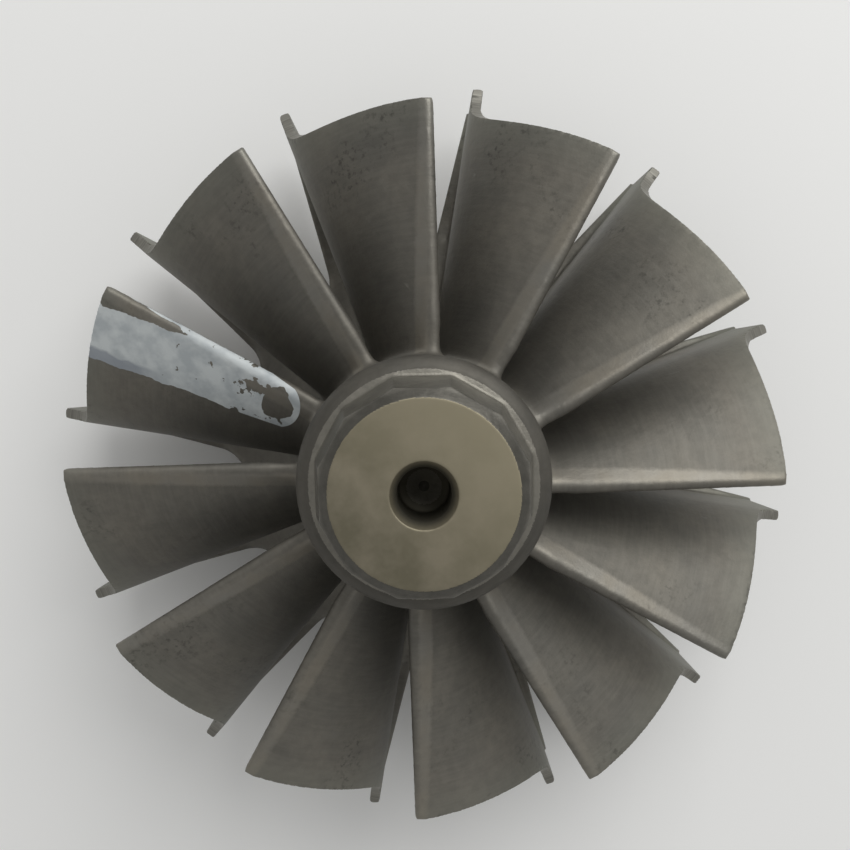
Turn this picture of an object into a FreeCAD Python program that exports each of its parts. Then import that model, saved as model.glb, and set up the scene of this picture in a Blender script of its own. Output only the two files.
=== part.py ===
import FreeCAD, Part
import math
import os
import re

import Sketcher

# Turbine wheel of a small turbocharger: one investment casting with twelve
# radial-fibre blades, a deeply scalloped disc, a drive nose with twelve flats
# and a plain boss at the back, where the shaft is welded on.
# Millimetres. Z is the axis, nose up; Z = 0 is the flat face of the back boss.

NODE = "turbine_wheel"

SIZES = {
    # where the gas enters (inducer) and leaves (exducer)
    "inducer_radius": 28.0,
    "inducer_width": 8.0,
    "exducer_radius": 24.4,
    "exducer_rise": 10.0,
    "contour_reach": 9.0,
    # blades
    "blade_count": 12,
    "wrap_angle": 23.0,
    "camber_power": 2.6,
    "blade_tip_thickness": 0.8,
    "blade_root_thickness": 1.15,
    "trailing_root_rise": 0.8,
    # hub and disc
    "hub_radius": 8.1,
    "hub_flare_radius": 12.0,
    "disc_thickness": 1.0,
    "scallop_floor_radius": 15.0,
    "scallop_end_radius": 3.0,
    "tongue_half_width": 0.55,
    # boss and weld recess at the back
    "boss_height": 3.0,
    "boss_radius": 7.0,
    "boss_fillet": 2.5,
    "recess_radius": 3.2,
    "recess_depth": 4.0,
    # nose
    "nose_rise": 10.8,
    "nose_face_radius": 5.55,
    "nose_flats": 12,
    "nose_flat_radius": 6.9,
    "nose_turn": 5.7,
    "nose_draft": 8.0,
    "nose_edge_radius": 0.4,
    "nose_bevel_angle": 40.0,
    "shoulder_rise": 5.6,
    "shoulder_radius": 1.2,
    "drill_radius": 1.6,
    "drill_depth": 4.5,
    "drill_point_angle": 118.0,
    "countersink_radius": 2.0,
    "countersink_angle": 60.0,
}

# Heights above the boss face, as sums of sizes.
HORN = "boss_height + inducer_width"
TRAILING = HORN + " + exducer_rise"
SHOULDER = TRAILING + " + shoulder_rise"
NOSE = TRAILING + " + nose_rise"
# How far cutting outlines and blade sections run past the metal.
CLEAR = 2.0
BLADE_STATIONS = 9
CONTOUR_STATIONS = 8

doc = FreeCAD.newDocument("TurbineWheel")
sheet = doc.addObject("Spreadsheet::Sheet", "sizes")
for row, (alias, value) in enumerate(SIZES.items(), start=1):
    sheet.set(f"A{row}", alias)
    sheet.set(f"B{row}", str(value))
    sheet.setAlias(f"B{row}", alias)
doc.recompute()

body = doc.addObject("PartDesign::Body", "wheel_body")
body.Label = NODE


def size(text):
    """The value of a sum of sheet cells, such as "boss_height + inducer_width"."""
    terms = re.findall(r"([+-]?) ?(\w+)", text)
    return sum(-float(sheet.get(name)) if sign == "-" else float(sheet.get(name)) for sign, name in terms)


def bind(item, field, text):
    """Tie one property of an object to a sum of sheet cells."""
    item.setExpression(field, re.sub(r"([a-z]\w+)", r"sizes.\1", text))


def origin_feature(role):
    """One of the body's own origin planes or axes."""
    return next(feature for feature in body.Origin.OriginFeatures if feature.Role == role)


def new_sketch(name, role):
    """An empty sketch on one of the body's origin planes."""
    sketch = body.newObject("Sketcher::SketchObject", name)
    sketch.AttachmentSupport = [(origin_feature(role), "")]
    sketch.MapMode = "FlatFace"
    return sketch


def turn_about_axis(sketch, degrees):
    """Turn a sketch that lies square to the wheel's axis."""
    turn = FreeCAD.Rotation(FreeCAD.Vector(0, 0, 1), degrees)
    sketch.AttachmentOffset = FreeCAD.Placement(FreeCAD.Vector(0, 0, 0), turn)


def point(x, y):
    return FreeCAD.Vector(x, y, 0)


def arc_between(start, end, radius, centre_on_left):
    """The short arc from start to end, with its centre on the left or right of that line."""
    half = (end - start) / 2
    aside = point(-half.y, half.x).normalize() * math.sqrt(max(radius**2 - half.Length**2, 0))
    centre = start + half + (aside if centre_on_left else -aside)
    # sketch arcs always run anticlockwise
    ends = (start, end) if centre_on_left else (end, start)
    angles = [math.atan2(place.y - centre.y, place.x - centre.x) for place in ends]
    return Part.ArcOfCircle(Part.Circle(centre, FreeCAD.Vector(0, 0, 1), radius), *angles)


def join(sketch, corners, edges):
    """Add edges from corner to corner as one closed outline, and give the end of an edge at each corner."""
    numbers = sketch.addGeometry(edges, False)
    ends = []
    for number, corner in zip(numbers, corners):
        # an arc that is passed clockwise starts at its far end
        starts_here = sketch.Geometry[number].StartPoint.isEqual(corner, 1e-6)
        ends.append((number, 1 if starts_here else 2))
    for (number, end), following in zip(ends, ends[1:] + ends[:1]):
        sketch.addConstraint(Sketcher.Constraint("Coincident", number, 3 - end, *following))
    return ends


def polygon(sketch, corners):
    """A closed outline of straight lines."""
    join(sketch, corners, [Part.LineSegment(a, b) for a, b in zip(corners, corners[1:] + corners[:1])])


def rounded_polygon(sketch, sides, flat_radius, corner_radius):
    """A regular polygon with rounded corners, its flats at a radius from the middle."""
    half = math.pi / sides
    reach = (flat_radius - corner_radius) / math.cos(half)
    places, arcs = [], []
    for number in range(sides):
        turn = 2 * number * half
        centre = point(math.cos(turn), math.sin(turn)) * reach
        round_corner = Part.Circle(centre, FreeCAD.Vector(0, 0, 1), corner_radius)
        arcs.append(Part.ArcOfCircle(round_corner, turn - half, turn + half))
        places += [centre + point(math.cos(angle), math.sin(angle)) * corner_radius
                   for angle in (turn - half, turn + half)]
    flats = [Part.LineSegment(places[number], places[(number + 1) % len(places)])
             for number in range(1, len(places), 2)]
    join(sketch, places, [edge for pair in zip(arcs, flats) for edge in pair])


def outline(sketch, corners, rounds=None):
    """A closed outline whose corners are pairs of sums of sizes, "" standing for the axis or Z = 0.

    rounds gives the radius of each stretch that is an arc, by the number of the corner it starts at,
    and whether the arc's centre lies on its left.
    """
    rounds = rounds or {}
    places = [point(size(x), size(y)) for x, y in corners]
    edges = []
    for number, start in enumerate(places):
        end = places[(number + 1) % len(places)]
        if number in rounds:
            radius, centre_on_left = rounds[number]
            edges.append(arc_between(start, end, size(radius), centre_on_left))
        else:
            edges.append(Part.LineSegment(start, end))
    ends = join(sketch, places, edges)
    for end, (x, y) in zip(ends, corners):
        for kind, text, axis in (("DistanceX", x, -2), ("DistanceY", y, -1)):
            if text:
                rule = sketch.addConstraint(Sketcher.Constraint(kind, -1, 1, *end, size(text)))
                bind(sketch, f"Constraints[{rule}]", text)
            else:
                sketch.addConstraint(Sketcher.Constraint("PointOnObject", *end, axis))
    for number, (radius, _) in rounds.items():
        rule = sketch.addConstraint(Sketcher.Constraint("Radius", ends[number][0], size(radius)))
        bind(sketch, f"Constraints[{rule}]", radius)


def turned(kind, name, sketch):
    """A full turn of a sketch about the wheel's axis, added or cut."""
    feature = body.newObject(kind, name)
    feature.Profile = sketch
    feature.ReferenceAxis = (sketch, ["V_Axis"])
    feature.Angle = 360
    return feature


def around(name, feature, count):
    """Copies of a feature spaced evenly about the axis."""
    pattern = body.newObject("PartDesign::PolarPattern", name)
    pattern.Originals = [feature]
    pattern.Axis = (origin_feature("Z_Axis"), [""])
    pattern.Angle = 360
    bind(pattern, "Occurrences", count)
    body.Tip = pattern


def add_hub():
    """Hub, disc and back boss with its weld recess, turned about the axis."""
    disc_top = "boss_height + disc_thickness"
    sketch = new_sketch("hub_profile", "XZ_Plane")
    outline(sketch, [
        ("", "recess_depth"),
        ("recess_radius", "recess_depth"),
        ("recess_radius", ""),
        ("boss_radius", ""),
        ("boss_radius", "boss_height - boss_fillet"),
        ("boss_radius + boss_fillet", "boss_height"),
        ("inducer_radius", "boss_height"),
        ("inducer_radius", disc_top),
        ("hub_radius + hub_flare_radius", disc_top),
        ("hub_radius", disc_top + " + hub_flare_radius"),
        ("hub_radius", SHOULDER + " - shoulder_radius"),
        ("hub_radius - shoulder_radius", SHOULDER),
        ("", SHOULDER),
    ], {4: ("boss_fillet", False), 8: ("hub_flare_radius", False), 10: ("shoulder_radius", True)})
    turned("PartDesign::Revolution", "hub", sketch)


def camber(rise):
    """The blade's angle from its middle plane, in radians, at a height above the horn corner."""
    share = max(rise, 0) / size("exducer_rise")
    return math.radians(size("wrap_angle")) * (0.5 - share ** size("camber_power"))


def cut_scallops():
    """The U-shaped gaps that leave each blade a tongue of the disc, narrow at the rim."""
    half_pitch = math.pi / size("blade_count")
    rim = size("inducer_radius")
    tongue = size("tongue_half_width")
    end_radius = size("scallop_end_radius")
    centre = point(size("scallop_floor_radius") + end_radius, 0)
    rim_corner = point(rim * math.cos(half_pitch) + tongue * math.sin(half_pitch),
                       rim * math.sin(half_pitch) - tongue * math.cos(half_pitch))
    to_rim = rim_corner - centre
    turn = math.atan2(to_rim.y, to_rim.x) + math.acos(end_radius / to_rim.Length)
    touch = centre + point(math.cos(turn), math.sin(turn)) * end_radius
    side = (rim_corner - touch).normalize()
    outer = touch + side * ((rim + CLEAR - touch.x) / side.x)
    sketch = new_sketch("scallop_outline", "XY_Plane")
    far_touch = point(touch.x, -touch.y)
    far_outer = point(outer.x, -outer.y)
    join(sketch, [outer, touch, far_touch, far_outer], [
        Part.LineSegment(outer, touch),
        Part.ArcOfCircle(touch, centre - point(end_radius, 0), far_touch),
        Part.LineSegment(far_touch, far_outer),
        Part.LineSegment(far_outer, outer),
    ])
    # a gap lies midway between the straight inducer parts of two blades
    turn_about_axis(sketch, math.degrees(half_pitch + camber(0)))
    pocket = body.newObject("PartDesign::Pocket", "scallop")
    pocket.Profile = sketch
    pocket.Type = "Length"
    pocket.Reversed = True
    bind(pocket, "Length", TRAILING)
    around("scallops", pocket, "blade_count")


def fibre(share, distance):
    """Where a fibre of the blade's middle surface meets the section at a distance from the axis.

    A fibre is a straight line, set by its points at the hub and at the exducer tip. Its share is 0 at the
    height of the horn corner and 1 along the trailing edge.
    """
    root_rise = share * size("exducer_rise + trailing_root_rise")
    tip_rise = share * size("exducer_rise")
    root = point(size("hub_radius") * math.tan(camber(root_rise)), size(HORN) + root_rise)
    tip = point(size("exducer_radius") * math.tan(camber(tip_rise)), size(HORN) + tip_rise)
    outward = (distance - size("hub_radius")) / size("exducer_radius - hub_radius")
    return root + (tip - root) * outward


def blade_section(name, distance):
    """The blade cut square to the radius through its middle, at a distance from the axis."""
    outward = (distance - size("hub_radius")) / size("inducer_radius - hub_radius")
    thickness = size("blade_root_thickness") + outward * size("blade_tip_thickness - blade_root_thickness")
    # the round edge reaches the last fibre, so its centre lies half a thickness short of that
    nudge = 0.001
    last_run = (fibre(1, distance) - fibre(1 - nudge, distance)).Length / nudge
    step = (1 - thickness / 2 / last_run) / BLADE_STATIONS
    upper, lower = [], []
    for number in range(BLADE_STATIONS + 1):
        share = number * step
        centre = fibre(share, distance)
        along = (fibre(share + nudge, distance) - fibre(share - nudge, distance)).normalize()
        aside = point(along.y, -along.x) * (thickness / 2)
        upper.append(centre + aside)
        lower.insert(0, centre - aside)
    trailing_tip = centre + along * (thickness / 2)
    foot = size("boss_height") + size("disc_thickness") / 2
    upper_foot = point(upper[0].x, foot)
    lower_foot = point(lower[-1].x, foot)
    # even parameters, so that the loft joins points of the same height
    stations = [number / BLADE_STATIONS for number in range(BLADE_STATIONS + 1)]
    up = point(0, 1)
    upper_side = Part.BSplineCurve()
    upper_side.interpolate(Points=upper, InitialTangent=up, FinalTangent=along, Parameters=stations)
    lower_side = Part.BSplineCurve()
    lower_side.interpolate(Points=lower, InitialTangent=-along, FinalTangent=-up, Parameters=stations)
    sketch = new_sketch(name, "YZ_Plane")
    sketch.AttachmentOffset = FreeCAD.Placement(FreeCAD.Vector(0, 0, distance), FreeCAD.Rotation())
    join(sketch, [upper_foot, upper[0], upper[-1], lower[0], lower[-1], lower_foot], [
        Part.LineSegment(upper_foot, upper[0]),
        upper_side,
        Part.ArcOfCircle(upper[-1], trailing_tip, lower[0]),
        lower_side,
        Part.LineSegment(lower[-1], lower_foot),
        Part.LineSegment(lower_foot, upper_foot),
    ])
    return sketch


def add_blades():
    """Twelve twisted blades, each thickest at the hub, with a round trailing edge."""
    inner = blade_section("blade_inner_section", size("boss_radius") / 2)
    outer = blade_section("blade_outer_section", size("inducer_radius") + CLEAR)
    blade = body.newObject("PartDesign::AdditiveLoft", "blade")
    blade.Profile = inner
    blade.Sections = [outer]
    blade.Ruled = True
    around("blades", blade, "blade_count")


def trim_blades():
    """The blade tips ground to the housing's contour: straight at the inducer, then a quarter ellipse."""
    tip = size("inducer_radius")
    neck = size("exducer_radius")
    reach = size("contour_reach")
    horn = size(HORN)
    top = size(TRAILING) + CLEAR
    outside = tip + 2 * CLEAR
    curve = []
    for number in range(CONTOUR_STATIONS + 1):
        turn = math.pi / 2 * number / CONTOUR_STATIONS
        curve.append(point(tip - (tip - neck) * math.sin(turn), horn + reach * (1 - math.cos(turn))))
    contour = Part.BSplineCurve()
    contour.interpolate(curve)
    below = point(tip, -CLEAR)
    above = point(neck, top)
    outer_above = point(outside, top)
    outer_below = point(outside, -CLEAR)
    sketch = new_sketch("tip_contour", "XZ_Plane")
    join(sketch, [below, curve[0], curve[-1], above, outer_above, outer_below], [
        Part.LineSegment(below, curve[0]),
        contour,
        Part.LineSegment(curve[-1], above),
        Part.LineSegment(above, outer_above),
        Part.LineSegment(outer_above, outer_below),
        Part.LineSegment(outer_below, below),
    ])
    turned("PartDesign::Groove", "tip_trim", sketch)


def add_nose():
    """The drafted drive nose, its ground face bevelled and centre-drilled."""
    root = SHOULDER + " - shoulder_radius"
    draft = size(NOSE) - size(root)
    narrowing = draft * math.tan(math.radians(size("nose_draft")))
    sections = []
    for name, height, flat_radius in (
        ("nose_root_outline", root, size("nose_flat_radius")),
        ("nose_top_outline", NOSE, size("nose_flat_radius") - narrowing),
    ):
        sketch = new_sketch(name, "XY_Plane")
        turn_about_axis(sketch, size("nose_turn"))
        bind(sketch, "AttachmentOffset.Base.z", height)
        rounded_polygon(sketch, int(size("nose_flats")), flat_radius, size("nose_edge_radius"))
        sections.append(sketch)
    nose = body.newObject("PartDesign::AdditiveLoft", "nose")
    nose.Profile = sections[0]
    nose.Sections = [sections[1]]
    nose.Ruled = True

    top = size(NOSE)
    face = size("nose_face_radius")
    beyond = size("nose_flat_radius") + CLEAR
    drop = (beyond - face) * math.tan(math.radians(size("nose_bevel_angle")))
    bevel = [point(face, top), point(beyond, top), point(beyond, top - drop)]
    sketch = new_sketch("nose_bevel_outline", "XZ_Plane")
    polygon(sketch, bevel)
    turned("PartDesign::Groove", "nose_bevel", sketch)

    drill = size("drill_radius")
    mouth = size("countersink_radius")
    sink = (mouth - drill) / math.tan(math.radians(size("countersink_angle") / 2))
    point_depth = size("drill_depth") + drill / math.tan(math.radians(size("drill_point_angle") / 2))
    wall_end = top - size("drill_depth")
    hole = [point(0, top), point(mouth, top), point(drill, top - sink), point(drill, wall_end),
            point(0, top - point_depth)]
    sketch = new_sketch("centre_hole_outline", "XZ_Plane")
    polygon(sketch, hole)
    turned("PartDesign::Groove", "centre_hole", sketch)


add_hub()
cut_scallops()
add_blades()
trim_blades()
add_nose()
doc.recompute()

for item in doc.Objects:
    if "Invalid" in item.State or "Error" in item.State:
        raise RuntimeError(f"{item.Name} failed: {item.State}")
if body.Shape.isNull() or not body.Shape.isValid() or len(body.Shape.Solids) != 1:
    raise RuntimeError(f"{NODE} is not one valid solid")
print(f"{NODE}: {body.Shape.Volume:.1f} cubic millimetres")

os.makedirs("parts", exist_ok=True)
body.Shape.exportStep(f"parts/{body.Label}.step")
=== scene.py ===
import math

import bmesh
import bpy
import numpy as np
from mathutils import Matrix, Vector


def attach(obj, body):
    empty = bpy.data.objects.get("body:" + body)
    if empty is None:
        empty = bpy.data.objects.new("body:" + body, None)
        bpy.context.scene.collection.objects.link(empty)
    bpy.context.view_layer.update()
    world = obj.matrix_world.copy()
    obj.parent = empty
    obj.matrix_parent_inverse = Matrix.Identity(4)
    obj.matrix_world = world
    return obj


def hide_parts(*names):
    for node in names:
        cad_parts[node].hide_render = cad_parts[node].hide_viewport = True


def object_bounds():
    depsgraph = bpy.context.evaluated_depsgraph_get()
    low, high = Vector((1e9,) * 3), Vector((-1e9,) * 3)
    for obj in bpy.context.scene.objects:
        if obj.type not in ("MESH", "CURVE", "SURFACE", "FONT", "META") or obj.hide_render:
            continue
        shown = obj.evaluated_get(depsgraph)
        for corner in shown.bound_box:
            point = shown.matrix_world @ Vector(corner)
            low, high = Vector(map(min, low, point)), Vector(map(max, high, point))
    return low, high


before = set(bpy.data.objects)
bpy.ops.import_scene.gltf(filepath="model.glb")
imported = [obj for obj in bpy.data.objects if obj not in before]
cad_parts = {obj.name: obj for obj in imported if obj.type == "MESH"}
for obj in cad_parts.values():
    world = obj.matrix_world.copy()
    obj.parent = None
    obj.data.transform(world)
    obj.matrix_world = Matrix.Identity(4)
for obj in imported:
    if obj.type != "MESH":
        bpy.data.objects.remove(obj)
cad_box = [list(corner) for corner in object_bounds()]
MM = 0.001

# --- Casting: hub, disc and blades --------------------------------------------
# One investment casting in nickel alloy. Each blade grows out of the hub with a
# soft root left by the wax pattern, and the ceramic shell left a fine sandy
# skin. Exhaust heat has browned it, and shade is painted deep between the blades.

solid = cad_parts["turbine_wheel"]
BLADES = 12
DISC_TOP = 4 * MM
NECK_HEIGHT = 25 * MM
NECK_RADIUS = 8.1 * MM
FLARE_RADIUS = 12 * MM
INDUCER_RADIUS = 28 * MM
EXDUCER_RADIUS = 24.4 * MM
CONTOUR_FOOT = 11 * MM
CONTOUR_RISE = 9 * MM
# the contour is flattest between these two heights
SHALLOW_FROM, SHALLOW_TO = 10.8 * MM, 12.5 * MM
TIPS_TOP = 21.1 * MM
CASTING_VOXEL = 0.15 * MM
CASTING_TRIANGLES = 185000


def link_mesh(name, mesh):
    piece = bpy.data.objects.new(name, mesh)
    bpy.context.scene.collection.objects.link(piece)
    return piece


def part_of_solid(name, cut_height, keep_above):
    """A closed copy of the wheel's solid above or below one height."""
    bm = bmesh.new()
    bm.from_mesh(solid.data)
    bmesh.ops.remove_doubles(bm, verts=bm.verts, dist=1e-6)
    cut = bmesh.ops.bisect_plane(bm, geom=bm.verts[:] + bm.edges[:] + bm.faces[:],
                                 plane_co=(0, 0, cut_height), plane_no=(0, 0, 1),
                                 clear_inner=keep_above, clear_outer=not keep_above)
    rim = [edge for edge in cut["geom_cut"] if isinstance(edge, bmesh.types.BMEdge)]
    bmesh.ops.contextual_create(bm, geom=rim)
    mesh = bpy.data.meshes.new(name)
    bm.to_mesh(mesh)
    bm.free()
    return link_mesh(name, mesh)


def apply_modifiers(piece):
    """Make what the modifiers show the piece's own mesh."""
    bpy.context.view_layer.update()
    shown = piece.evaluated_get(bpy.context.evaluated_depsgraph_get())
    mesh = bpy.data.meshes.new_from_object(shown)
    piece.modifiers.clear()
    piece.data = mesh


def voxel_skin(piece, voxel):
    """Give a piece one even, closed skin."""
    skin = piece.modifiers.new("skin", "REMESH")
    skin.mode = "VOXEL"
    skin.voxel_size = voxel
    apply_modifiers(piece)


def smooth(piece, name, steps, group=""):
    """Smooth a piece, or only what its vertex group holds, in a number of steps."""
    modifier = piece.modifiers.new(name, "SMOOTH")
    modifier.vertex_group = group
    modifier.factor = 0.5
    modifier.iterations = steps


def thin_out(piece, share):
    """Keep a share of a piece's triangles."""
    thin = piece.modifiers.new("thin", "DECIMATE")
    thin.ratio = share
    apply_modifiers(piece)
    piece.vertex_groups.clear()


def hub_radius_at(height):
    """Radius of the hub's turned surface at each height."""
    inside = np.clip(DISC_TOP + FLARE_RADIUS - height, 0, FLARE_RADIUS)
    return NECK_RADIUS + FLARE_RADIUS - np.sqrt(FLARE_RADIUS**2 - inside**2)


def contour_radius(height):
    """Radius of the ground contour at each height: a quarter of an ellipse, then straight up."""
    inside = np.clip(1 - (height - CONTOUR_FOOT) / CONTOUR_RISE, 0, 1)
    return INDUCER_RADIUS - (INDUCER_RADIUS - EXDUCER_RADIUS) * np.sqrt(1 - inside**2)


def contour_height(radius):
    """Height of the same contour above each radius."""
    inside = np.clip((INDUCER_RADIUS - radius) / (INDUCER_RADIUS - EXDUCER_RADIUS), 0, 1)
    return CONTOUR_FOOT + CONTOUR_RISE * (1 - np.sqrt(1 - inside**2))


def corner_places(mesh):
    """The places of a mesh's vertices, with their distances from the axis and heights."""
    places = np.empty(len(mesh.vertices) * 3, np.float32)
    mesh.vertices.foreach_get("co", places)
    places = places.reshape(-1, 3)
    return places, np.hypot(places[:, 0], places[:, 1]), places[:, 2]


casting = part_of_solid("wheel_casting", NECK_HEIGHT, keep_above=False)
voxel_skin(casting, CASTING_VOXEL)

# the roots are smoothed fully up to 1 mm off the hub, and not at all from 2.2 mm; the disc stays crisp
ROOT_REACH, ROOT_FADE = 2.2 * MM, 1.2 * MM
places, reach, rise = corner_places(casting.data)
softness = np.clip((ROOT_REACH - (reach - hub_radius_at(rise))) / ROOT_FADE, 0, 1)
softness[rise < DISC_TOP + 0.2 * MM] = 0
roots = casting.vertex_groups.new(name="roots")
for tenth in range(1, 11):
    members = np.nonzero(np.round(softness * 10) == tenth)[0]
    roots.add(members.tolist(), tenth / 10, "REPLACE")
smooth(casting, "roots", 80, "roots")
smooth(casting, "worn_edges", 5)
apply_modifiers(casting)

# the blade tips are then ground to the housing's contour, and the neck is turned round
GRINDING = 0.14 * MM
GROUND_FROM = 3.2 * MM
places, reach, rise = corner_places(casting.data)
ground_to = contour_radius(rise)
steep = (np.abs(reach - ground_to) < GRINDING) & (rise < TIPS_TOP)
steep &= (rise > SHALLOW_TO) | (rise > GROUND_FROM) & (rise < SHALLOW_FROM)
shallow = (np.abs(rise - contour_height(reach)) < GRINDING) & (rise > SHALLOW_FROM) & (rise <= SHALLOW_TO)
places[steep, :2] *= (ground_to / reach)[steep, None]
places[shallow, 2] = contour_height(reach)[shallow]
neck = (rise > NECK_HEIGHT - 0.8 * MM) & (reach > NECK_RADIUS - 0.3 * MM)
places[neck, :2] *= (NECK_RADIUS / reach)[neck, None]
casting.data.vertices.foreach_set("co", places.ravel())
casting.data.update()

thin_out(casting, CASTING_TRIANGLES / (2 * len(casting.data.polygons)))
casting.data.shade_smooth()
casting.data.set_sharp_from_angle(angle=math.radians(60))


def linear(colour):
    """An sRGB hex colour as the linear values that a shader takes."""
    channels = [int(colour[i:i + 2], 16) / 255 for i in (1, 3, 5)]
    return [c / 12.92 if c <= 0.04045 else ((c + 0.055) / 1.055) ** 2.4 for c in channels] + [1]


def new_material(name):
    material = bpy.data.materials.new(name)
    material.use_nodes = True
    material.node_tree.nodes.clear()
    return material


def add(material, kind, settings=None, links=None):
    """Add a node, set its fields and sockets, and link its inputs. Sockets go by name or number.

    A colour ramp's "stops" are pairs of a position and an sRGB hex colour.
    """
    tree = material.node_tree
    node = tree.nodes.new("ShaderNode" + kind)
    for field, value in (settings or {}).items():
        if field == "stops":
            for stop, (position, colour) in zip(node.color_ramp.elements, value):
                stop.position, stop.color = position, linear(colour)
        elif isinstance(field, str) and hasattr(node, field):
            setattr(node, field, value)
        else:
            node.inputs[field].default_value = value
    for socket, source in (links or {}).items():
        tree.links.new(source, node.inputs[socket])
    return node


# as-cast nickel alloy, browned by heat: a dull metal whose sandy skin blurs what it mirrors
cast_alloy = new_material("as_cast_nickel_alloy")
coordinates = add(cast_alloy, "TexCoord")
place = coordinates.outputs["Object"]
axes = add(cast_alloy, "SeparateXYZ", links={0: place})
height = axes.outputs["Z"]
flat = add(cast_alloy, "CombineXYZ", links={"X": axes.outputs["X"], "Y": axes.outputs["Y"]}).outputs[0]
radius = add(cast_alloy, "VectorMath", {"operation": "LENGTH"}, {0: flat}).outputs["Value"]
bearing = add(cast_alloy, "Math", {"operation": "ARCTAN2"}, {0: axes.outputs["Y"], 1: axes.outputs["X"]})

# heat colour: grey-brown, in clouds about 6 mm across and mottled at 0.8 mm
clouds = add(cast_alloy, "TexNoise", {"Scale": 1 / (6 * MM), "Detail": 3, "Roughness": 0.6},
             {"Vector": place})
heat = add(cast_alloy, "ValToRGB", {"stops": ((0.3, "#64625c"), (0.7, "#77736a"))},
           {"Fac": clouds.outputs["Fac"]})
mottle = add(cast_alloy, "TexNoise", {"Scale": 1 / (0.8 * MM), "Detail": 4, "Roughness": 0.65},
             {"Vector": place})
patchy = add(cast_alloy, "MapRange", {"From Min": 0.38, "From Max": 0.66, "To Min": 0.0, "To Max": 0.34},
             {"Value": mottle.outputs["Fac"]})
mottled = add(cast_alloy, "MixRGB", {"Color2": linear("#57554f")},
              {"Fac": patchy.outputs[0], "Color1": heat.outputs["Color"]})

# flow streaks at a constant radius, 0.25 mm wide and some 3 mm long
STREAK_WIDTH, STREAK_LENGTH = 0.25 * MM, 3 * MM
STREAKS_PER_RADIAN = 6
streak_place = add(cast_alloy, "CombineXYZ", links={"X": radius, "Y": height})
streak_stretch = add(cast_alloy, "Mapping", {"Scale": (1 / STREAK_WIDTH, 1 / STREAK_LENGTH, 1)},
                     {"Vector": streak_place.outputs[0]})
round_wheel = add(cast_alloy, "CombineXYZ", links={"Z": bearing.outputs[0]})
streak_turn = add(cast_alloy, "VectorMath", {"operation": "MULTIPLY_ADD", 1: (0, 0, STREAKS_PER_RADIAN)},
                  {0: round_wheel.outputs[0], 2: streak_stretch.outputs[0]})
streaks = add(cast_alloy, "TexNoise", {"Scale": 1.0, "Detail": 3, "Roughness": 0.6},
              {"Vector": streak_turn.outputs[0]})
streak_share = add(cast_alloy, "MapRange",
                   {"From Min": 0.4, "From Max": 0.65, "To Min": 0.0, "To Max": 0.13},
                   {"Value": streaks.outputs["Fac"]})
streaked = add(cast_alloy, "MixRGB", {"Color2": linear("#8b887f")},
               {"Fac": streak_share.outputs[0], "Color1": mottled.outputs[0]})

# the gas side of the inducer edge is scoured a lighter, greener grey
scoured = add(cast_alloy, "MapRange",
              {"From Min": 22 * MM, "From Max": 26.5 * MM, "To Min": 0.0, "To Max": 0.5},
              {"Value": radius})
edged = add(cast_alloy, "MixRGB", {"Color2": linear("#84857a")},
            {"Fac": scoured.outputs[0], "Color1": streaked.outputs[0]})

# dark specks of scale 0.36 mm, in patches some 5 mm wide and thickest towards the rim
fleck = add(cast_alloy, "TexNoise", {"Scale": 1 / (0.36 * MM), "Detail": 3, "Roughness": 0.6},
            {"Vector": place})
fleck_share = add(cast_alloy, "MapRange",
                  {"From Min": 0.52, "From Max": 0.68, "To Min": 0.0, "To Max": 0.6},
                  {"Value": fleck.outputs["Fac"]})
patches = add(cast_alloy, "TexNoise",
              {"noise_dimensions": "4D", "Scale": 1 / (5 * MM), "Detail": 3, "Roughness": 0.6, "W": 2.0},
              {"Vector": place})
in_patch = add(cast_alloy, "MapRange", {"From Min": 0.5, "From Max": 0.64},
               {"Value": patches.outputs["Fac"]})
rimward = add(cast_alloy, "MapRange",
              {"From Min": 12 * MM, "From Max": 20 * MM, "To Min": 0.1, "To Max": 1.0}, {"Value": radius})
fleck_patch = add(cast_alloy, "Math", {"operation": "MULTIPLY"},
                  {0: fleck_share.outputs[0], 1: in_patch.outputs[0]})
fleck_here = add(cast_alloy, "Math", {"operation": "MULTIPLY"},
                 {0: fleck_patch.outputs[0], 1: rimward.outputs[0]})
flecked = add(cast_alloy, "MixRGB", {"Color2": linear("#3a3833")},
              {"Fac": fleck_here.outputs[0], "Color1": edged.outputs[0]})

# painted shade: the colour darkens in the deep parts of the passages towards the hub, and in the corner round
# the nose, where shade falls
deep_passage_shade = add(cast_alloy, "MapRange",
                  {"From Min": 20 * MM, "From Max": 8 * MM, "To Min": 0.0, "To Max": 0.1}, {"Value": radius})
nose_corner_shade = add(cast_alloy, "MapRange",
              {"From Min": 23 * MM, "From Max": 26 * MM, "To Min": 0.0, "To Max": 0.4}, {"Value": height})
painted_shade = add(cast_alloy, "Math", {"operation": "ADD"}, {0: deep_passage_shade.outputs[0], 1: nose_corner_shade.outputs[0]})
shaded = add(cast_alloy, "MixRGB", {"Color2": linear("#2e2c28")},
            {"Fac": painted_shade.outputs[0], "Color1": flecked.outputs[0]})

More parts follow.
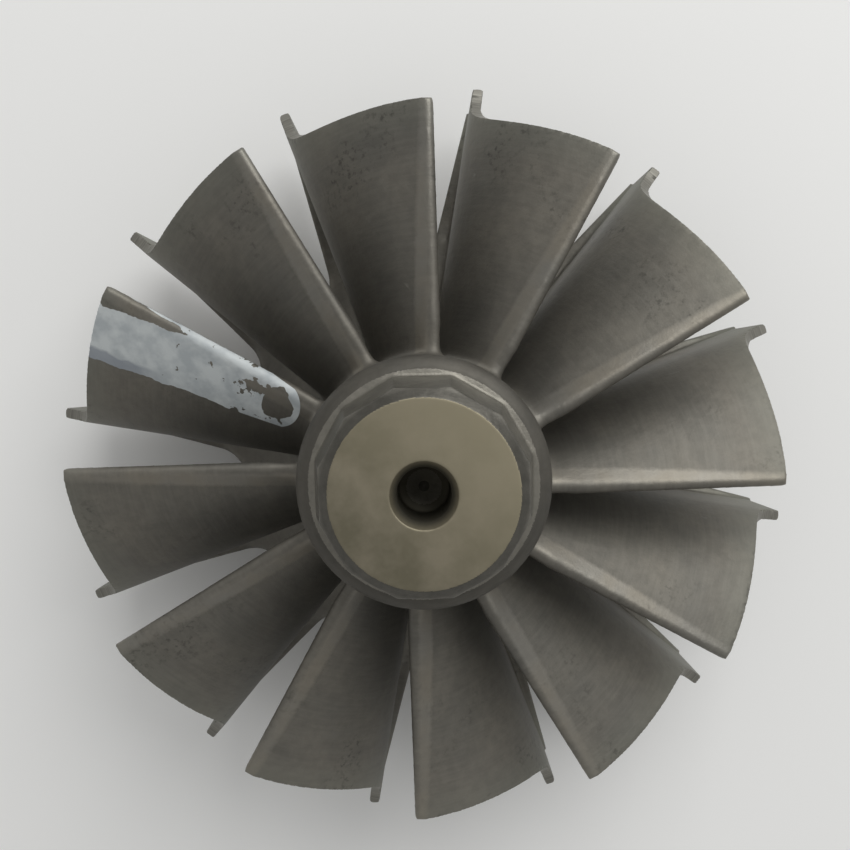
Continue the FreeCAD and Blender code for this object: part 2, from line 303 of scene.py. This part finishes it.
# the round trailing edges are rubbed bare; each lies 18.5 degrees on from a twelfth of a turn, and its
# middle line rises by half a millimetre, and its radius grows, on the way in from the tip to the hub
FIRST_EDGE = math.radians(18.5)
EDGE_SETBACK = 0.37 * MM
EDGE_TIP = {"height": 20.85 * MM, "radius": 0.40 * MM}
EDGE_ROOT = {"height": 21.36 * MM, "radius": 0.58 * MM}
past_twelfth = add(cast_alloy, "Math", {"operation": "SUBTRACT", 1: FIRST_EDGE}, {0: bearing.outputs[0]})
past_edge = add(cast_alloy, "Math", {"operation": "WRAP", 1: math.pi / BLADES, 2: -math.pi / BLADES},
                {0: past_twelfth.outputs[0]})
edge_turn = add(cast_alloy, "Math", {"operation": "MULTIPLY_ADD", 2: -EDGE_SETBACK},
                {0: past_edge.outputs[0], 1: radius})
edge_height = add(cast_alloy, "MapRange",
                  {"From Min": EXDUCER_RADIUS, "From Max": NECK_RADIUS,
                   "To Min": EDGE_TIP["height"], "To Max": EDGE_ROOT["height"]}, {"Value": radius})
edge_rise = add(cast_alloy, "Math", {"operation": "SUBTRACT"}, {0: height, 1: edge_height.outputs[0]})
from_edge = add(cast_alloy, "CombineXYZ", links={"X": edge_turn.outputs[0], "Y": edge_rise.outputs[0]})
edge_distance = add(cast_alloy, "VectorMath", {"operation": "LENGTH"}, {0: from_edge.outputs[0]})
edge_round = add(cast_alloy, "MapRange",
                 {"From Min": EXDUCER_RADIUS, "From Max": NECK_RADIUS,
                  "To Min": EDGE_TIP["radius"], "To Max": EDGE_ROOT["radius"]}, {"Value": radius})
grit = add(cast_alloy, "TexNoise", {"Scale": 1 / (0.5 * MM), "Detail": 4, "Roughness": 0.7},
           {"Vector": place})
ragged = add(cast_alloy, "Math", {"operation": "MULTIPLY_ADD", 1: 0.4 * MM, 2: -0.17 * MM},
             {0: grit.outputs["Fac"]})
past_round = add(cast_alloy, "Math", {"operation": "SUBTRACT"},
                 {0: edge_distance.outputs["Value"], 1: edge_round.outputs[0]})
past_ragged = add(cast_alloy, "Math", {"operation": "ADD"}, {0: past_round.outputs[0], 1: ragged.outputs[0]})
bare = add(cast_alloy, "MapRange",
           {"From Min": 0.2 * MM, "From Max": -0.08 * MM, "To Min": 0.0, "To Max": 0.36},
           {"Value": past_ragged.outputs[0]})
edge_tint = add(cast_alloy, "ValToRGB", {"stops": ((0.4, "#949189"), (0.6, "#918a7c"))},
                {"Fac": clouds.outputs["Fac"]})
rubbed = add(cast_alloy, "MixRGB",
             links={"Fac": bare.outputs[0], "Color1": shaded.outputs[0], "Color2": edge_tint.outputs["Color"]})

# a dab of pale paint, brushed on beside one trailing edge as a balancing mark and since chipped
PAINTED_BLADE = math.radians(150)
PAINT_MIDDLE, PAINT_HALF_WIDTH = math.radians(-7), math.radians(8)
paint_place = add(cast_alloy, "Mapping", {"vector_type": "POINT", "Rotation": (0, 0, -PAINTED_BLADE)},
                  {"Vector": place})
paint_axes = add(cast_alloy, "SeparateXYZ", links={0: paint_place.outputs[0]})
paint_turn = add(cast_alloy, "Math", {"operation": "ARCTAN2"},
                 {0: paint_axes.outputs["Y"], 1: paint_axes.outputs["X"]})
on_blade = add(cast_alloy, "Math", {"operation": "COMPARE", 1: PAINT_MIDDLE, 2: PAINT_HALF_WIDTH},
               {0: paint_turn.outputs[0]})
facing = add(cast_alloy, "SeparateXYZ", links={0: coordinates.outputs["Normal"]})
on_upper_side = add(cast_alloy, "Math", {"operation": "GREATER_THAN", 1: 0.15}, {0: facing.outputs["Z"]})
brush = add(cast_alloy, "TexNoise", {"Scale": 1 / (1.5 * MM), "Detail": 3, "Roughness": 0.55},
            {"Vector": place})
wander = add(cast_alloy, "Math", {"operation": "MULTIPLY_ADD", 1: 0.5 * MM, 2: -0.25 * MM},
             {0: brush.outputs["Fac"]})
paint_depth = add(cast_alloy, "Math", {"operation": "SUBTRACT"},
                  {0: wander.outputs[0], 1: edge_rise.outputs[0]})
upper_limit = add(cast_alloy, "MapRange",
                  {"From Min": EXDUCER_RADIUS, "From Max": 16.5 * MM,
                   "To Min": 0.1 * MM, "To Max": -0.6 * MM}, {"Value": radius})
lower_limit = add(cast_alloy, "MapRange",
                  {"From Min": 12 * MM, "From Max": 16 * MM, "To Min": 2.4 * MM, "To Max": 1.85 * MM},
                  {"Value": radius})
below_top = add(cast_alloy, "Math", {"operation": "GREATER_THAN"},
                {0: paint_depth.outputs[0], 1: upper_limit.outputs[0]})
above_foot = add(cast_alloy, "Math", {"operation": "LESS_THAN"},
                 {0: paint_depth.outputs[0], 1: lower_limit.outputs[0]})
chips = add(cast_alloy, "TexNoise", {"Scale": 1 / (1.2 * MM), "Detail": 4, "Roughness": 0.6},
            {"Vector": paint_place.outputs[0]})
chip_line = add(cast_alloy, "MapRange",
                {"From Min": 13 * MM, "From Max": 21 * MM, "To Min": 0.575, "To Max": 0.7}, {"Value": radius})
unchipped = add(cast_alloy, "Math", {"operation": "LESS_THAN"},
                {0: chips.outputs["Fac"], 1: chip_line.outputs[0]})

# the brush left the largest drop at the dab's inner end, 11 mm out, and the drop's middle has flaked off
DROP_PLACE = (-8.79 * MM, 6.62 * MM, 0)
DROP_REACH = 1.62 * MM
DAB_INNER_RADIUS = 11 * MM
drop = add(cast_alloy, "VectorMath", {"operation": "DISTANCE", 1: DROP_PLACE}, {0: flat})
drop_edge = add(cast_alloy, "Math", {"operation": "MULTIPLY_ADD", 1: 1.2 * MM, 2: 0.5 * MM},
                {0: brush.outputs["Fac"]})
unflaked = add(cast_alloy, "Math", {"operation": "GREATER_THAN"},
               {0: drop.outputs["Value"], 1: drop_edge.outputs[0]})
drop_rim = add(cast_alloy, "Math", {"operation": "LESS_THAN", 1: DROP_REACH}, {0: drop.outputs["Value"]})
past_drop = add(cast_alloy, "Math", {"operation": "GREATER_THAN", 1: DAB_INNER_RADIUS}, {0: radius})
inner_end = add(cast_alloy, "Math", {"operation": "MAXIMUM"},
                {0: drop_rim.outputs[0], 1: past_drop.outputs[0]})
painted = on_blade.outputs[0]
for limit in (on_upper_side, below_top, above_foot, unchipped, unflaked, inner_end):
    painted = add(cast_alloy, "Math", {"operation": "MULTIPLY"}, {0: painted, 1: limit.outputs[0]}).outputs[0]
paint_tint = add(cast_alloy, "ValToRGB", {"stops": ((0.38, "#a7adaf"), (0.6, "#bfc4c4"))},
                 {"Fac": brush.outputs["Fac"]})
thin_coat = add(cast_alloy, "MapRange",
                {"From Min": 1.4 * MM, "From Max": 1.5 * MM, "To Min": 0.0, "To Max": 0.75},
                {"Value": paint_depth.outputs[0]})
outer_end = add(cast_alloy, "MapRange", {"From Min": 19 * MM, "From Max": 21 * MM}, {"Value": radius})
thin_share = add(cast_alloy, "Math", {"operation": "MULTIPLY"},
                 {0: thin_coat.outputs[0], 1: outer_end.outputs[0]})
paint_colour = add(cast_alloy, "MixRGB", {"Color2": linear("#7c828a")},
                   {"Fac": thin_share.outputs[0], "Color1": paint_tint.outputs["Color"]})
coloured = add(cast_alloy, "MixRGB",
               links={"Fac": painted, "Color1": rubbed.outputs[0], "Color2": paint_colour.outputs[0]})

# casting skin: grit marks of the ceramic shell, 0.15 mm and 0.5 mm; the paint stands proud and isn't metal
sand = add(cast_alloy, "TexNoise", {"Scale": 1 / (0.15 * MM), "Detail": 2, "Roughness": 0.6},
           {"Vector": place})
grains = add(cast_alloy, "Bump", {"Strength": 0.35, "Distance": 0.02 * MM}, {"Height": sand.outputs["Fac"]})
shell = add(cast_alloy, "Bump", {"Strength": 0.5, "Distance": 0.04 * MM},
            {"Height": grit.outputs["Fac"], "Normal": grains.outputs[0]})
coat = add(cast_alloy, "Bump", {"Strength": 0.6, "Distance": 0.05 * MM},
           {"Height": painted, "Normal": shell.outputs[0]})
dull = add(cast_alloy, "MapRange", {"To Min": 0.45, "To Max": 0.65}, {"Value": clouds.outputs["Fac"]})
smooth_edge = add(cast_alloy, "Math", {"operation": "MULTIPLY_ADD", 1: -0.35},
                  {0: bare.outputs[0], 2: dull.outputs[0]})
metal = add(cast_alloy, "MapRange", {"To Min": 0.7, "To Max": 0.0}, {"Value": painted})
shader = add(cast_alloy, "BsdfPrincipled",
             links={"Base Color": coloured.outputs[0], "Metallic": metal.outputs[0],
                    "Roughness": smooth_edge.outputs[0], "Normal": coat.outputs[0]})
add(cast_alloy, "OutputMaterial", links={"Surface": shader.outputs["BSDF"]})

# the blade tips are ground to the housing's contour, brighter than the casting and scored round the wheel
ground_tips = new_material("ground_blade_tips")
place = add(ground_tips, "TexCoord").outputs["Object"]
axes = add(ground_tips, "SeparateXYZ", links={0: place})
flat = add(ground_tips, "CombineXYZ", links={"X": axes.outputs["X"], "Y": axes.outputs["Y"]})
radius = add(ground_tips, "VectorMath", {"operation": "LENGTH"}, {0: flat.outputs[0]})
ring = add(ground_tips, "CombineXYZ", links={"X": radius.outputs["Value"], "Y": axes.outputs["Z"]})
scores = add(ground_tips, "TexNoise", {"Scale": 1 / (0.12 * MM), "Detail": 2}, {"Vector": ring.outputs[0]})
tip_tint = add(ground_tips, "ValToRGB", {"stops": ((0.35, "#73716a"), (0.65, "#8a8880"))},
               {"Fac": scores.outputs["Fac"]})
scored = add(ground_tips, "Bump", {"Strength": 0.3, "Distance": 0.02 * MM}, {"Height": scores.outputs["Fac"]})
shader = add(ground_tips, "BsdfPrincipled", {"Metallic": 0.75, "Roughness": 0.5},
             {"Base Color": tip_tint.outputs["Color"], "Normal": scored.outputs[0]})
add(ground_tips, "OutputMaterial", links={"Surface": shader.outputs["BSDF"]})

# the faces that lie on the contour are the ground ones; the lowest 5 mm is left as cast
ON_CONTOUR = 0.05 * MM
TIPS_FOOT = 5 * MM
casting.data.materials.append(cast_alloy)
casting.data.materials.append(ground_tips)
places, reach, rise = corner_places(casting.data)
ground = np.abs(reach - contour_radius(rise)) < ON_CONTOUR
ground |= (np.abs(rise - contour_height(reach)) < ON_CONTOUR) & (rise < SHALLOW_TO)
ground &= (rise > TIPS_FOOT) & (rise < TIPS_TOP)
for face in casting.data.polygons:
    if all(ground[corner] for corner in face.vertices):
        face.material_index = 1
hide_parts("turbine_wheel")
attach(casting, "root")

# --- Nose ---------------------------------------------------------------------
# Cast with the wheel, then ground square on its face, bevelled round the face
# and centre-drilled, so that it can be held between centres and driven.

FACE_HEIGHT = cad_box[1][2]
SHOULDER_HEIGHT = 26.4 * MM
FOOT_FROM, FOOT_TO = 26.2 * MM, 27.3 * MM
NOSE_OVERLAP = 0.4 * MM
NOSE_INSET = 0.006 * MM
NOSE_VOXEL = 0.07 * MM

# it starts down inside the casting's neck, a hair narrower, so that no seam shows; its foot is rounded
nose = part_of_solid("drive_nose", NECK_HEIGHT - NOSE_OVERLAP, keep_above=True)
voxel_skin(nose, NOSE_VOXEL)
foot = nose.vertex_groups.new(name="foot")
foot.add([corner.index for corner in nose.data.vertices
          if FOOT_FROM < corner.co.z < FOOT_TO and 6.2 * MM < corner.co.xy.length < 7.8 * MM],
         1, "REPLACE")
smooth(nose, "foot", 40, "foot")
smooth(nose, "worn_edges", 2)
thin_out(nose, 0.3)
for corner in nose.data.vertices:
    if corner.co.z < SHOULDER_HEIGHT and corner.co.xy.length > 7.2 * MM:
        corner.co.xy *= 1 - NOSE_INSET / corner.co.xy.length
nose.data.shade_smooth()

# ground nickel alloy: warmer than the casting, stained, with a painted reflection that brightens it towards
# one side, and with fine grinding marks
ground_alloy = new_material("ground_nickel_alloy")
place = add(ground_alloy, "TexCoord").outputs["Object"]
stains = add(ground_alloy, "TexNoise", {"Scale": 1 / (2.5 * MM), "Detail": 4, "Roughness": 0.6},
             {"Vector": place})
tint = add(ground_alloy, "ValToRGB", {"stops": ((0.35, "#6b6655"), (0.65, "#827b6a"))},
           {"Fac": stains.outputs["Fac"]})
# painted reflection: the face grows lighter towards the side the light comes from, as its sheen would make it
reflection_side = add(ground_alloy, "VectorMath", {"operation": "DOT_PRODUCT", 1: (0.8, 0.6, 0)}, {0: place})
painted_reflection_share = add(ground_alloy, "MapRange",
                 {"From Min": -4 * MM, "From Max": 5 * MM, "To Min": 0.0, "To Max": 0.8},
                 {"Value": reflection_side.outputs["Value"]})
reflecting_face = add(ground_alloy, "MixRGB", {"Color2": linear("#989079")},
                {"Fac": painted_reflection_share.outputs[0], "Color1": tint.outputs["Color"]})
marks = add(ground_alloy, "TexNoise", {"Scale": 1 / (0.3 * MM), "Detail": 3}, {"Vector": place})
brushed = add(ground_alloy, "Bump", {"Strength": 0.15, "Distance": 0.02 * MM},
              {"Height": marks.outputs["Fac"]})

# the colour darkens from the countersink into the mouth of the centre hole
axes = add(ground_alloy, "SeparateXYZ", links={0: place})
flat = add(ground_alloy, "CombineXYZ", links={"X": axes.outputs["X"], "Y": axes.outputs["Y"]})
radius = add(ground_alloy, "VectorMath", {"operation": "LENGTH"}, {0: flat.outputs[0]})
mouth = add(ground_alloy, "MapRange",
            {"From Min": 1.9 * MM, "From Max": 1.68 * MM, "To Min": 0.0, "To Max": 0.8},
            {"Value": radius.outputs["Value"]})
darkened_mouth = add(ground_alloy, "MixRGB", {"Color2": linear("#4c4a42")},
           {"Fac": mouth.outputs[0], "Color1": reflecting_face.outputs[0]})
shader = add(ground_alloy, "BsdfPrincipled", {"Metallic": 0.7, "Roughness": 0.45},
             {"Base Color": darkened_mouth.outputs[0], "Normal": brushed.outputs[0]})
add(ground_alloy, "OutputMaterial", links={"Surface": shader.outputs["BSDF"]})

# cast skin on the bevel and flanks: pitted, darkest beside the ground face with grime and painted shade, and
# brighter at the foot with a painted highlight
nose_skin = new_material("cast_nickel_alloy_grime_and_painted_light")
place = add(nose_skin, "TexCoord").outputs["Object"]
height = add(nose_skin, "SeparateXYZ", links={0: place}).outputs["Z"]
smears = add(nose_skin, "TexNoise", {"Scale": 1 / (0.9 * MM), "Detail": 4, "Roughness": 0.65},
             {"Vector": place})
skin_tint = add(nose_skin, "ValToRGB", {"stops": ((0.35, "#65635c"), (0.65, "#7a776f"))},
                {"Fac": smears.outputs["Fac"]})
# grime and painted shade: the bevel darkens towards the ground face
by_face = add(nose_skin, "MapRange",
              {"From Min": 31.15 * MM, "From Max": 31.45 * MM, "To Min": 0.0, "To Max": 0.6},
              {"Value": height})
grime_and_bevel_shade = add(nose_skin, "MixRGB", {"Color2": linear("#34322d")},
                 {"Fac": by_face.outputs[0], "Color1": skin_tint.outputs["Color"]})
# painted highlight: a lighter band round the nose's foot, where its fillet would catch the light
foot_highlight = add(nose_skin, "MapRange",
              {"From Min": 27.4 * MM, "From Max": 27 * MM, "To Min": 0.0, "To Max": 0.25},
              {"Value": height})
highlighted_foot = add(nose_skin, "MixRGB", {"Color2": linear("#8f8b80")},
                  {"Fac": foot_highlight.outputs[0], "Color1": grime_and_bevel_shade.outputs[0]})
pits = add(nose_skin, "TexNoise", {"Scale": 1 / (0.35 * MM), "Detail": 4, "Roughness": 0.7},
           {"Vector": place})
pitted = add(nose_skin, "Bump", {"Strength": 0.6, "Distance": 0.05 * MM}, {"Height": pits.outputs["Fac"]})
shader = add(nose_skin, "BsdfPrincipled", {"Metallic": 0.7, "Roughness": 0.38},
             {"Base Color": highlighted_foot.outputs[0], "Normal": pitted.outputs[0]})
add(nose_skin, "OutputMaterial", links={"Surface": shader.outputs["BSDF"]})

for finish in (cast_alloy, ground_alloy, nose_skin):
    nose.data.materials.append(finish)
for face in nose.data.polygons:
    out = math.hypot(face.center.x, face.center.y)
    in_hole = face.center.z > 27 * MM and out < 2.3 * MM
    on_face = face.center.z > FACE_HEIGHT - 0.1 * MM and face.normal.z > 0.97
    if in_hole or on_face:
        face.material_index = 1
    elif face.center.z > 26.55 * MM and out < 7.3 * MM:
        face.material_index = 2
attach(nose, "root")

# --- Floor, light and camera --------------------------------------------------
# A sheet of matt white paper under the wheel, one soft lamp above the far edge
# and an even white room.

bm = bmesh.new()
bmesh.ops.create_grid(bm, x_segments=1, y_segments=1, size=2.0)
mesh = bpy.data.meshes.new("floor")
bm.to_mesh(mesh)
bm.free()
floor = link_mesh("floor", mesh)

# matt white paper: an even, shineless white
paper = new_material("matt_white_paper")
shader = add(paper, "BsdfPrincipled",
             {"Base Color": linear("#efefed"), "Roughness": 0.9, "Specular IOR Level": 0.2})
add(paper, "OutputMaterial", links={"Surface": shader.outputs["BSDF"]})
mesh.materials.append(paper)

room = bpy.data.worlds.new("white_room")
bpy.context.scene.world = room
room.use_nodes = True
room.node_tree.nodes["Background"].inputs["Color"].default_value = (1, 1, 1, 1)
room.node_tree.nodes["Background"].inputs["Strength"].default_value = 0.48

lamp = bpy.data.lights.new("soft_box", "AREA")
lamp.energy = 1.12
lamp.size = 0.35
soft_box = bpy.data.objects.new("soft_box", lamp)
soft_box.location = (0.18, 0.24, 0.26)
soft_box.rotation_euler = (Vector((0, 0, 0.015)) - soft_box.location).to_track_quat("-Z", "Y").to_euler()
bpy.context.scene.collection.objects.link(soft_box)

lens = bpy.data.cameras.new("camera")
lens.sensor_width = 36
lens.lens = 41.311
lens.shift_x = 0.0153
lens.shift_y = 0.1118
lens.clip_start = 1 * MM
camera = bpy.data.objects.new("camera", lens)
camera.location = Vector((1.008, 6.399, 86.671)) * MM
camera.rotation_euler = [math.radians(turn) for turn in (-8.146, 0.560, -10.324)]
bpy.context.scene.collection.objects.link(camera)
bpy.context.scene.camera = camera
bpy.context.scene.view_settings.view_transform = "Standard"
